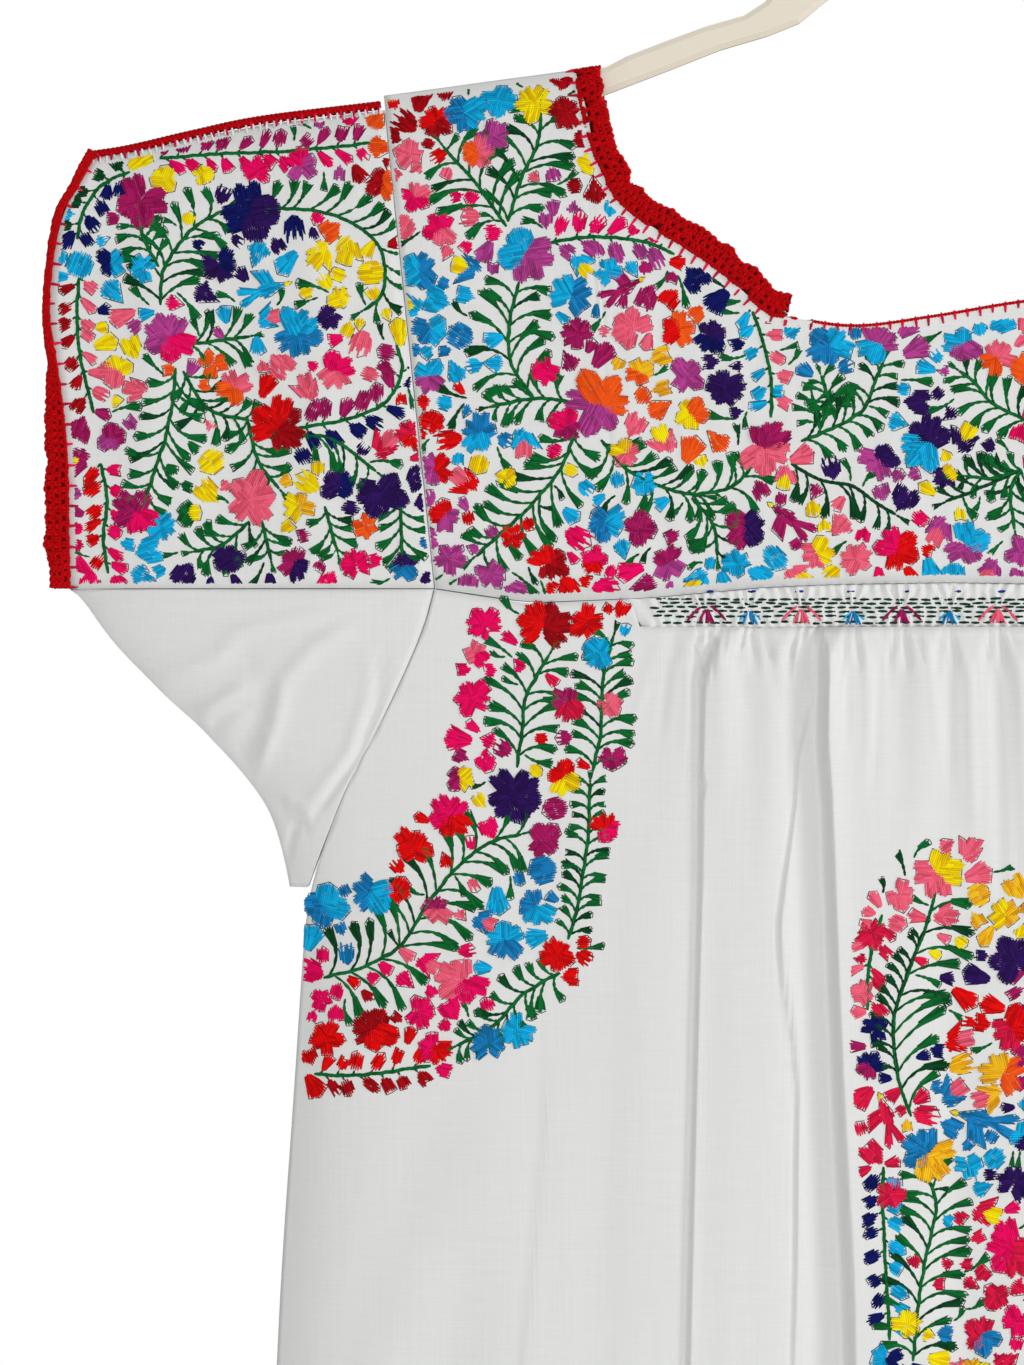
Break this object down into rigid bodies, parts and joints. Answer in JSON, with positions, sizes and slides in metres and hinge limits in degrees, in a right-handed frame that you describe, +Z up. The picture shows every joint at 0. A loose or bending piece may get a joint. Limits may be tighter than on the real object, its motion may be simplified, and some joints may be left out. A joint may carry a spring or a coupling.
{
  "type": "embroidered dress on a hanger",
  "caption": "Long white cotton dress with embroidered flowers, a smocked band and red crochet edging, hanging flat on a slim hanger.",
  "frame": {"origin": "inside top of the hanger's hook, where it hangs on a rod", "axes": "+Z up, front of the dress towards -Y, +X to the viewer's right"},
  "size_m": [0.8464, 0.0507, 1.2617],
  "materials": {
    "cotton": "matt white plain-weave cotton with soft creases",
    "embroidered_cotton": "white cotton densely worked in satin stitch in bright cotton thread",
    "embroidery_thread": "soft sheen of stranded thread in satin stitch",
    "crochet": "matt red crochet cotton",
    "hanger_flock": "ivory flocked plastic",
    "hook_chrome": "bright chromed wire"
  },
  "bodies": {
    "root": {"hanger_body": "hanger_flock", "hanger_hook": "hook_chrome", "front_yoke": "embroidered_cotton", "back_yoke": "embroidered_cotton", "front_smocking": "cotton", "front_skirt": "cotton", "back_skirt": "cotton", "sleeve_front_left": "embroidered_cotton", "cuff_lace_front_left": "crochet", "sleeve_back_left": "embroidered_cotton", "cuff_lace_back_left": "crochet", "underarm_left": "cotton", "sleeve_top_trim_left": "crochet", "sleeve_front_right": "embroidered_cotton", "cuff_lace_front_right": "crochet", "sleeve_back_right": "embroidered_cotton", "cuff_lace_back_right": "crochet", "underarm_right": "cotton", "sleeve_top_trim_right": "crochet", "neck_lace_front_left": "crochet", "neck_lace_front_right": "crochet", "neck_lace_back": "crochet", "front_neck_row": "crochet"}
  },
  "joints": []
}
